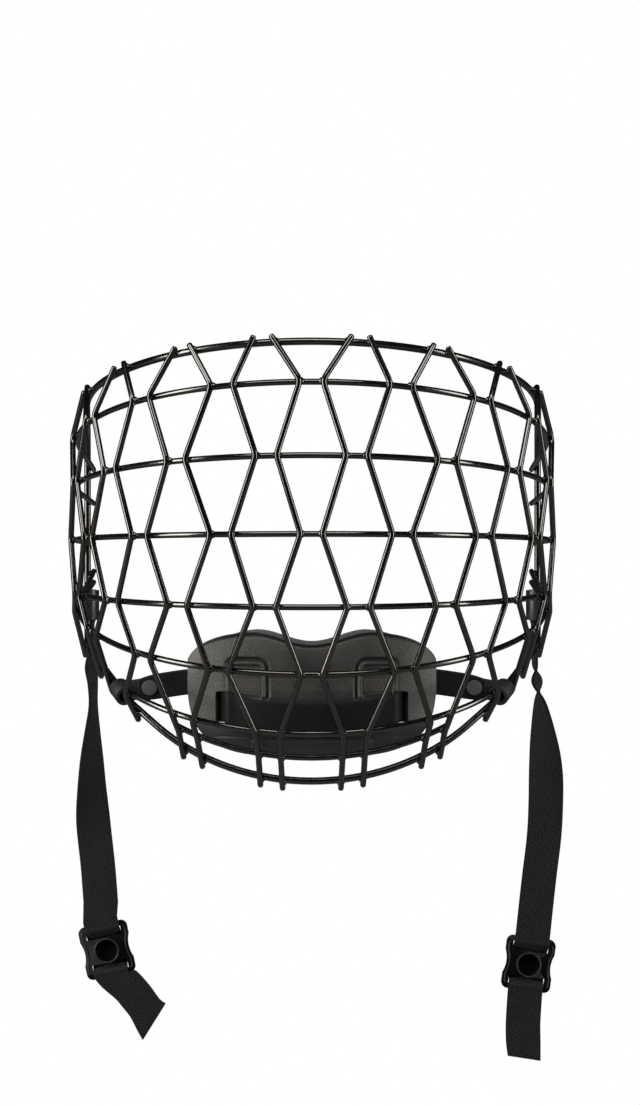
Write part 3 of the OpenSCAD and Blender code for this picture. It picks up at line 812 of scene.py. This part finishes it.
# Operators


class MASK_OT_camera(bpy.types.Operator):
    """Set the camera square to the front of the mask, one metre away"""

    bl_idname = "mask.camera"
    bl_label = "Camera"

    def execute(self, context):
        data = bpy.data.cameras.new("Camera")
        data.sensor_width = 36
        data.lens = context.scene.mask_stage.lens
        camera = bpy.data.objects.new("Camera", data)
        camera.location = CAMERA_AT
        camera.rotation_euler = (radians(90), 0, 0)
        context.collection.objects.link(camera)
        context.scene.camera = camera
        return {"FINISHED"}


def in_slider(side, s, n):
    """A point of the slider: s down its middle line and n out of it, towards the camera."""
    x, z, tilt = SLIDERS[side]
    t = radians(tilt)
    return Vector((x + s * sin(t), SLIDER_Y - n, z - s * cos(t)))


def over_slider(side):
    t = radians(SLIDERS[side][2])
    return Vector((cos(t), 0, sin(t)))


def band_mesh(name, rows, thickness, edge=0.35, crown=0.0):
    """A flat band through rows of (centre, width direction, half width), with rounded edges."""
    lengths = [0.0]
    for a, b in zip(rows, rows[1:]):
        lengths.append(lengths[-1] + (b[0] - a[0]).length)
    last = len(rows) - 1

    def place(u, v):
        i = round(v * last)
        centre, across, half = rows[i]
        w = 2 * u - 1
        way = unit(rows[min(last, i + 1)][0] - rows[max(0, i - 1)][0])
        return centre + across * half * w + unit(way.cross(across)) * crown * (1 - w * w)

    obj = add_grid(name, BAND_COLUMNS, last, place)
    width = max(row[2] for row in rows) * 2 * MM
    for loop, uv in zip(obj.data.loops, obj.data.uv_layers.active.data):
        u, v = uv.uv
        uv.uv = (u * width, lengths[round(v * last)] * MM)
    solidify = obj.modifiers.new("Thickness", "SOLIDIFY")
    solidify.thickness = thickness * MM
    solidify.offset = 0
    add_bevel(obj, edge, 2, 50)
    with editing(obj):
        bpy.ops.mesh.normals_make_consistent(inside=False)
    smooth(obj, 50)
    return obj


def strap_rows(side):
    """The whole band from the sewn fold through the slider to the cut end."""
    sign = SIDES[side]
    start = [(sign * REAR_X, FOLD_END_Z, 0), (sign * REAR_X, FOLD_END_Z - 4, 0)]
    rows = [(x, STRAP_Y, z, sin(radians(twist)), cos(radians(twist)), 0, WEB_W / 2)
            for x, z, twist in smooth_rows(start + list(ROUTES[side]), ROUTE_STEPS)]
    over = over_slider(side) * -sign
    tight = [(*in_slider(side, s, n * THREAD_N), *over, WEB_W / 2) for s, n in THREADING]
    tail = [Vector((x, STRAP_Y, z)) for x, z in TAILS[side]]
    a, b = (Vector((x, STRAP_Y, z)) for x, z in TAIL_ENDS[side])
    tip = (a + b) / 2
    line = [Vector(tight[-1][:3])] + tail + [tip]
    ends = []
    for i, p in enumerate(tail):
        way = unit(line[i + 2] - line[i])
        ends.append((p, Vector((-way.z, 0, way.x)), WEB_W / 2))
    ends.append((tip, unit(b - a), (b - a).length / 2))
    for p, across, half in ends:
        tight.append((*p, *(-across if across.dot(over) < 0 else across), half))
    rows += smooth_rows(tight, TIGHT_STEPS)
    return [(Vector(row[:3]), unit(Vector(row[3:6])), row[6]) for row in rows]


def fold_rows(side):
    """The folded and sewn end round the keeper's bar."""
    x0 = SIDES[side] * REAR_X
    ring = (FOLD_RI + FOLD_RO) / 2
    low, neck = FOLD_END_Z, STRAP_BAR_Z - FOLD_RO - FOLD_NECK
    half = WEB_T / 2 + SEAM_GAP
    line = [(-half, low), (-half, low + 4), (-half, neck), (-half - 0.25, neck + 0.9)]
    for n in range(21):
        a = radians(FOLD_START - FOLD_TURN * n / 20)
        line.append((ring * cos(a), STRAP_BAR_Z + ring * sin(a)))
    line += [(half + 0.25, neck + 0.9), (half, neck), (half, low + 4), (half, low)]
    side_way = Vector((0, 1, 0))
    return [(Vector((x0 + x, STRAP_Y, z)), side_way, WEB_W / 2) for x, z in line]


class MASK_OT_straps(bpy.types.Operator):
    """Thread the two side straps: fold, hanging stretch, slider and free tail"""

    bl_idname = "mask.straps"
    bl_label = "Straps"

    def execute(self, context):
        settings = context.scene.mask_strap
        material = web_material("Black Webbing", settings.web_colour, settings.weave_pitch,
                                WEB_W * MM)
        for side in SIDES:
            rows = strap_rows(side)
            band = band_mesh("webbing_" + side, rows, WEB_T, crown=WEB_CROWN)
            finish_piece(band, material, "webbing")
            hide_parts("strap_" + side, "strap_tail_" + side)
            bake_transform(band)
            path = [tuple(row[0] * MM) for row in rows]
            length = sum((Vector(b) - Vector(a)).length for a, b in zip(path, path[1:]))
            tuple(path[0])
            fold = band_mesh("sewn_fold_" + side, fold_rows(side), WEB_T)
            finish_piece(fold, material, "webbing")
            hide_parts("strap_fold_" + side)
            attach(fold, "hanging_strap_" + side)
        return {"FINISHED"}


class MASK_OT_cage(bpy.types.Operator):
    """Bend and weld the cage's wires, each its own round coated piece"""

    bl_idname = "mask.cage"
    bl_label = "Cage"

    def execute(self, context):
        settings = context.scene.mask_cage
        coat = skin_material("Dip Coat", settings.coat_colour, settings.coat_roughness, 350.0,
                             0.00005, patch=1.5, dust=0.0, tint=(1.0, 0.95, 0.88), relief=0.04,
                             gloss=0.75)
        edge, low = edge_points()
        made = [("edge_wire", add_wire("edge_ring", edge, EDGE_D, True, settings.wire_sides))]
        for i in range(TOP + 1, BOTTOM):
            points = short_bar_points(i, SHORT_BARS[i]) if i in SHORT_BARS else long_bar_points(i)
            wire = add_wire("wire_bar_%d" % i, points, BAR_D, False, settings.wire_sides)
            made.append(("bar_%d" % i, wire))
        for k in range(len(LAST_LEVEL)):
            route, welds = upright_route(k, low)
            for side, sign in SIDES.items():
                flip = Vector((sign, 1, 1))
                label = "%s_%d" % (side, k + 1)
                wire = add_wire("zigzag_" + label, [p * flip for p in bent(route)], UPRIGHT_D, False,
                                settings.wire_sides)
                blobs = add_welds("welds_" + label, [(p * flip, d * flip) for p, d in welds],
                                  settings.weld_reach)
                made.append(("upright_" + label, join([wire, blobs], "zigzag_" + label)))
        for node, wire in made:
            finish_piece(wire, coat, "cage_wire")
            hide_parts(node)
            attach(wire, "cage")
        return {"FINISHED"}


# Chin cup surface, in millimetres


def rim_low(x):
    return -CUP_MID_Z - CUP_DROP * max(0, 1 - (abs(x) / (CUP_X + 0.2)) ** 3.6) ** (1 / 3.6)


def rim_top(x):
    top = -CUP_MID_Z + CUP_RISE * max(0, 1 - (abs(x) / (CUP_X + 0.2)) ** 4.4) ** 0.65
    return top - (DIP_DEEP * (1 + cos(pi * x / DIP_X)) / 2 if abs(x) < DIP_X else 0)


def band_point(a, depth, z):
    """A point at a turn in degrees, below or over the cup's plain skin, without its upper lean."""
    r = CUP_R - depth
    a = radians(a)
    curl = CURL_OUT * (max(0, CURL_FROM - z) / CURL_RUN) ** 2
    return Vector((r * sin(a), CUP_Y + CUP_R - r * cos(a) + curl, z))


def cup_point(x, z, depth):
    lean = LEAN * max(0, z - LEAN_FROM) ** 2
    return band_point(degrees(asin(x / CUP_R)), depth, z) + Vector((0, lean, 0))


def box_distance(x, z, box):
    """Signed distance to a rounded rectangle on the cup's skin."""
    cx, cz, half_x, half_z, corner = box
    dx = abs(x - cx) - half_x + corner
    dz = abs(z - cz) - half_z + corner
    return sqrt(max(dx, 0) ** 2 + max(dz, 0) ** 2) + min(max(dx, dz), 0) - corner


def ease(f):
    f = max(0.0, min(1.0, f))
    return f * f * (3 - 2 * f)


def ridge(away, reach):
    """1 on a line, fading to 0 at the reach to either side of it."""
    return ease(1 - abs(away) / reach)


def cup_relief(x, z):
    """How deep the cup's moulded face lies below its plain skin at a place."""
    x = abs(x)
    depth = RIM_GROOVE_DEEP * ridge(rim_top(x) - z - 1.0, 0.8) * ease((50 - x) / 22)
    window = box_distance(x, z, WINDOW)
    depth += WINDOW_DEEP * ease((0.2 - window) / 0.8)
    depth += TRENCH_DEEP * ridge(window - 2.3, 1.3) * ease((z + 152) / 3) * ease((38 - x) / 4)
    depth += PANEL_DEEP * ease((0.6 - box_distance(x, z, PANEL)) / 1.2)
    depth += LOW_PANEL_DEEP * ease((0.4 - box_distance(x, z, LOW_PANEL)) / 0.8)
    rib = ridge(min(abs(x - at) for at in RIB_X), 1.0)
    depth -= RIB_HIGH * rib * ease((-167.5 - z) / 1.5) * ease((z + 175.5) / 1.5)
    return depth + LINE_DEEP * ridge(z - LINE_Z, 0.8) * ease((44 - x) / 4)


def cup_painted_shade(x, z):
    """How much painted shade the cup's grooves and the line above the chin strap get at a place, 0 to
    1.
    """
    x = abs(x)
    rim = ridge(rim_top(x) - z - 0.9, 0.8) * ease((52 - x) / 6) if z > -CUP_MID_Z - 20 else 0
    window = box_distance(x, z, WINDOW)
    trench = ridge(window - 2.1, 0.8) * ease((z + 151) / 2) * ease((38 - x) / 3)
    # Painted shadow of the chin strap's top edge, a dark line on the cup just above it
    strap = ridge(z + 150.6 - 3.4 * (x / 38) ** 2, 1.1) * ease((37 - x) / 3)
    return min(1, max(rim, trench * 0.9, strap))


class MASK_OT_chin_cup(bpy.types.Operator):
    """Mould the chin cup's shell with its windows, ribs and strap slots"""

    bl_idname = "mask.chin_cup"
    bl_label = "Chin cup"

    def execute(self, context):
        settings = context.scene.mask_cup

        def spot(u, v):
            x = CUP_X * (0.55 * sin(radians(-90 + 180 * u)) + 0.45 * (2 * u - 1))
            low, high = rim_low(x), rim_top(x)
            return x, low + (high - low) * (v - 0.04 * sin(2 * pi * v))

        def face(u, v):
            x, z = spot(u, v)
            return cup_point(x, z, cup_relief(x, z))

        def inside(u, v):
            return cup_point(*spot(u, v), CUP_WALL - 0.2)

        shell = add_pad("moulded_cup", settings.columns, settings.rows, face, inside)
        for sign in (-1, 1):
            a = asin(sign * SLOT_X / CUP_R)
            deselect()
            bpy.ops.mesh.primitive_cube_add(size=1)
            cutter = context.object
            cutter.scale = (SLOT_W * MM, 24 * MM, SLOT_H * MM)
            cutter.location = (band_point(degrees(a), 0, SLOT_Z) + Vector((0, 1, 0))) * MM
            cutter.rotation_euler = (0, 0, a)
            settle(cutter)
            add_bevel(cutter, 1.2, 3, 30)
            cut = shell.modifiers.new("Slot", "BOOLEAN")
            cut.object = cutter
            cut.operation = "DIFFERENCE"
            cut.solver = "EXACT"
            apply_modifiers(shell)
            bpy.data.objects.remove(cutter)
        smooth(shell, 45)
        # Painted shade of the grooves, stored on each vertex for the rubber's colour
        painted_groove_shade = shell.data.attributes.new("painted_groove_shade", "FLOAT", "POINT")
        for vertex, mark in zip(shell.data.vertices, painted_groove_shade.data):
            mark.value = cup_painted_shade(vertex.co.x / MM, vertex.co.z / MM)
        rubber = skin_material("Cup Rubber", settings.rubber_colour, 0.42, 1100.0, 0.0002,
                               patch=1.9, dust=0.6, sheen=0.05, tint=(1.0, 0.96, 0.9), stipple=True)
        finish_piece(shell, rubber, "cup_rubber")
        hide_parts("chin_cup_shell")
        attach(shell, "chin_assembly")
        return {"FINISHED"}


def liner_place(share):
    """The liner's face as a function of u and v: the front at share 0, or a swelling back."""

    def place(u, v):
        x = LINER_HALF * sin(radians(-90 + 180 * u))
        low, high = rim_low(x) + 1.5, rim_top(x) + 1.5 * (1 - (x / LINER_HALF) ** 4)
        swell = max(0, sin(pi * v)) ** 0.5 * max(0, sin(pi * u)) ** 0.35
        swell *= LINER_MID_T - LINER_RIM_T + LINER_END_T * (x / LINER_HALF) ** 2
        thick = LINER_RIM_T + swell * share if share else 0
        return cup_point(x, low + (high - low) * v, CUP_WALL + 0.3 + thick)

    return place


class MASK_OT_liner(bpy.types.Operator):
    """Fill the cup with its foam liner"""

    bl_idname = "mask.liner"
    bl_label = "Liner"

    def execute(self, context):
        settings = context.scene.mask_cup
        liner = add_pad("foam_liner", 72, 40, liner_place(0), liner_place(0.96))
        add_bevel(liner, 0.8, 3, 55)
        smooth(liner, 60)
        foam = skin_material("Liner Foam", settings.foam_colour, 0.82, 2600.0, 0.00012,
                             patch=1.15, dust=0.4, sheen=0.3)
        finish_piece(liner, foam, "liner_foam")
        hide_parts("chin_cup_liner")
        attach(liner, "chin_assembly")
        return {"FINISHED"}


# Chin strap

LOOP_RUN = 9.5
RIVET_RUN = 12.5
LOOP_AT = JAW_FRONT + unit(JAW_REAR - JAW_FRONT) * LOOP_RUN
STRAP_EDGE = Vector((55, 56.6, -143.6))
TONGUE_DIR = unit(STRAP_EDGE - LOOP_AT)
FACE_N = unit(Vector((0, 0, 1)).cross(TONGUE_DIR))
FRONT_N = FACE_N if FACE_N.y < 0 else -FACE_N
RIVET_AT = LOOP_AT + TONGUE_DIR * RIVET_RUN
CHIN_T = 1.8
TONGUE_T = 1.8
BAND_Z = -158.9
BAND_SAG = 3.4
RUN_Z = -143.6
FRONT_GAP = 0.3 + CHIN_T / 2


def chin_rows():
    """Rows of the chin strap from stud to stud, out of one slot and into the other."""
    slot_a = degrees(asin(SLOT_X / CUP_R))
    weave_a = degrees((CUP_WALL / 2 + FRONT_GAP) / CUP_R) * 0.95
    inner = CUP_WALL + FRONT_GAP
    lift = FRONT_N * (TONGUE_T / 2 + 0.1 + CHIN_T / 2)
    half = [(band_point(a, -FRONT_GAP, BAND_Z + BAND_SAG * (a / 24) ** 2), 7.5)
            for a in range(0, 21, 4)]
    half += [
        (band_point(slot_a - weave_a, -FRONT_GAP, SLOT_Z), 6.75),
        (band_point(slot_a + weave_a, inner, SLOT_Z + 0.1), 6.75),
        (band_point(slot_a + 4.2, inner, SLOT_Z + 0.8), 6.75),
        (band_point(slot_a + 6.4, inner, SLOT_Z + 4), 6.2),
        (band_point(slot_a + 9.3, inner, RUN_Z - 1), 5.8),
        (band_point(slot_a + 11.8, inner, RUN_Z), 5.6),
        (LOOP_AT + TONGUE_DIR * 19 + lift, 5.6),
        (RIVET_AT + lift, 5.4),
        (LOOP_AT + TONGUE_DIR * 7 + lift, 4.4),
    ]
    rows = [(-p.x, p.y, p.z, h) for p, h in reversed(half[1:])] + [(*p, h) for p, h in half]
    up = Vector((0, 0, 1))
    return [(Vector(row[:3]), up, row[3]) for row in smooth_rows(rows, TIGHT_STEPS)]


class MASK_OT_chin_strap(bpy.types.Operator):
    """Lace the chin strap through the cup"""

    bl_idname = "mask.chin_strap"
    bl_label = "Chin strap"

    def execute(self, context):
        settings = context.scene.mask_cup
        strap = band_mesh("laced_chin_strap", chin_rows(), CHIN_T, edge=0.5)
        rubber = skin_material("Strap Rubber", settings.strap_colour, 0.5, 1100.0, 0.00004,
                               patch=1.3, dust=0.2, gloss=0.2)
        finish_piece(strap, rubber, "chin_strap_rubber")
        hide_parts("chin_strap")
        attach(strap, "chin_assembly")
        return {"FINISHED"}


MERGE_REACH = 0.00001
EDGE_ROUND = 0.45
STUD_ROUND = 0.25


def copy_node(name):
    """A copy of a CAD node's mesh with its loose triangles merged and its edges rounded."""
    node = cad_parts[name]
    obj = bpy.data.objects.new("dressed_" + name, node.data.copy())
    bpy.context.collection.objects.link(obj)
    with editing(obj):
        bpy.ops.mesh.remove_doubles(threshold=MERGE_REACH)
        bpy.ops.mesh.dissolve_limited(angle_limit=radians(0.5))
    add_bevel(obj, STUD_ROUND if "rivet" in name else EDGE_ROUND, 3, 35)
    return obj


def slider_details(side):
    """Edge rails, socket lip, inner ring and end grips of a snap slider."""
    over = over_slider(side)
    parts = []
    for sign in (-1, 1):
        line = []
        for n in range(25):
            s = RAIL_HALF * (n / 12 - 1)
            edge = SLIDER_W / 2 + min(0, WAIST_OUT - sqrt(WAIST_R ** 2 - s * s))
            corner = max(0, abs(s) - RAIL_HALF + 1) * 0.9
            line.append(in_slider(side, s, 1.12) + over * sign * (edge - RAIL_INSET - corner))
        parts.append(add_wire("rail", line, 0.9))
    for radius, out, thick in SOCKET_RINGS:
        turns = [2 * pi * n / RING_STEPS for n in range(RING_STEPS)]
        ring = [in_slider(side, radius * sin(a), out) + over * radius * cos(a) for a in turns]
        parts.append(add_wire("ring", ring, thick, True))
    for s in (-1, 1):
        bar = [in_slider(side, s * 11.6, 0.98) + over * x for x in (-8, -4, 0, 4, 8)]
        parts.append(add_wire("grip", bar, 0.5))
    return parts


def paint_bore_shade(piece, side, material):
    """Paints shade into the socket's inside: its faces get a material a tenth as light as the
    plastic.
    """
    piece.data.materials.append(material)
    middle = in_slider(side, 0, 0)
    for face in piece.data.polygons:
        at = face.center / MM - middle
        if sqrt(at.x ** 2 + at.z ** 2) < BORE_R and -1.5 < -at.y < 2.6:
            face.material_index = 1


class MASK_OT_fittings(bpy.types.Operator):
    """Dress keepers, sliders and rivets: rounded edges, rails, rings and plastic"""

    bl_idname = "mask.fittings"
    bl_label = "Fittings"

    def execute(self, context):
        settings = context.scene.mask_strap
        satin = skin_material("Satin Plastic", settings.plastic_colour, 0.33, 1400.0, 0.00004,
                              patch=1.5, dust=0.25)
        matte = skin_material("Matte Fitting", settings.plastic_colour, 0.5, 700.0, 0.00016,
                              patch=1.5, dust=0.3, relief=0.8)
        stud = skin_material("Stud", settings.stud_colour, 0.38, 1800.0, 0.00004, patch=1.3)
        # Painted shade for the inside of the socket
        bore_shade = skin_material("Painted Bore Shade", tinted(settings.plastic_colour, 0.1), 0.7, 700.0, 0.0001,
                             gloss=0.08)
        for side in SIDES:
            for kind, body, finish, slot in (
                ("snap_slider_", "slider_" + side, satin, "slider_plastic"),
                ("side_keeper_", "keeper_" + side, satin, "keeper_plastic"),
                ("chin_keeper_", "chin_assembly", matte, "chin_fitting"),
                ("chin_rivet_", "chin_assembly", stud, "chin_fitting"),
            ):
                piece = copy_node(kind + side)
                if kind == "snap_slider_":
                    piece = join([piece] + slider_details(side), piece.name)
                smooth(piece, 32)
                finish_piece(piece, finish, slot)
                if kind == "snap_slider_":
                    paint_bore_shade(piece, side, bore_shade)
                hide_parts(kind + side)
                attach(piece, body)
        return {"FINISHED"}


class MASK_OT_stage(bpy.types.Operator):
    """Put the mask over a plain pale floor in soft light"""

    bl_idname = "mask.stage"
    bl_label = "Stage"

    def execute(self, context):
        settings = context.scene.mask_stage
        scene = context.scene
        deselect()
        bpy.ops.mesh.primitive_plane_add(size=FLOOR_SIDE, location=(0, 0, settings.floor_z))
        ground = context.object
        ground.name = "studio_floor"
        settle(ground)
        material, n, shader, _ = start_material("Pale Floor")
        n.fill(shader, Base_Color=FLOOR_GREY, Roughness=0.9)
        white = n.fill(n.new("Emission"), Color=(1, 1, 1, 1))
        mix = n.new("MixShader")
        for target, value in zip(mix.inputs, (self.seen(n), shader.outputs[0], white[0])):
            n.link(value, target)
        n.link(mix.outputs[0], n.tree.nodes["Material Output"].inputs["Surface"])
        ground.data.materials.append(material)

        world = bpy.data.worlds.new("Studio")
        scene.world = world
        world.use_nodes = True
        n = Nodes(world.node_tree)
        n.fill(n.tree.nodes["Background"], Color=(1, 1, 1, 1),
               Strength=n.spread(self.seen(n), 0.0, 1.0, WORLD_LEVEL, 1.0))

        for name, place, wide, tall, share in LAMPS:
            lamp = bpy.data.lights.new(name, "AREA")
            lamp.shape = "RECTANGLE"
            lamp.size = wide
            lamp.size_y = tall
            lamp.energy = settings.key_power * share
            obj = bpy.data.objects.new(name, lamp)
            obj.location = place
            aim = Vector(LAMP_AIM) - Vector(place)
            obj.rotation_euler = aim.to_track_quat("-Z", "Y").to_euler()
            context.collection.objects.link(obj)
        scene.view_settings.view_transform = "Standard"
        return {"FINISHED"}

    def seen(self, n):
        """1 for what the camera sees, straight or through something clear, as a node socket."""
        path = n.new("LightPath").outputs
        return n.math("MAXIMUM", path["Is Camera Ray"], path["Is Transmission Ray"])


class MASK_PT_panel(bpy.types.Panel):
    """Sizes, colours and steps of the face mask"""

    bl_idname = "MASK_PT_panel"
    bl_label = "Face Mask"
    bl_space_type = "VIEW_3D"
    bl_region_type = "UI"
    bl_category = "Face Mask"

    def draw(self, context):
        layout = self.layout
        for name in SETTINGS:
            group = getattr(context.scene, name)
            box = layout.box()
            for key in group.bl_rna.properties.keys():
                if key not in ("rna_type", "name"):
                    box.prop(group, key)
        for step in STEPS:
            layout.operator(step.bl_idname)


SETTINGS = {
    "mask_cage": CageSettings,
    "mask_strap": StrapSettings,
    "mask_cup": CupSettings,
    "mask_stage": StageSettings,
}
STEPS = (
    MASK_OT_camera,
    MASK_OT_fittings,
    MASK_OT_straps,
    MASK_OT_cage,
    MASK_OT_chin_cup,
    MASK_OT_liner,
    MASK_OT_chin_strap,
    MASK_OT_stage,
)
CLASSES = (*SETTINGS.values(), *STEPS, MASK_PT_panel)


def register():
    for cls in CLASSES:
        bpy.utils.register_class(cls)
    for name, cls in SETTINGS.items():
        setattr(bpy.types.Scene, name, PointerProperty(type=cls))


def unregister():
    for name in SETTINGS:
        delattr(bpy.types.Scene, name)
    for cls in reversed(CLASSES):
        bpy.utils.unregister_class(cls)


def main():
    register()
    bpy.ops.mask.camera()
    bpy.ops.mask.fittings()
    bpy.ops.mask.straps()
    bpy.ops.mask.cage()
    bpy.ops.mask.chin_cup()
    bpy.ops.mask.liner()
    bpy.ops.mask.chin_strap()
    bpy.ops.mask.stage()


if __name__ == "__main__":
    main()
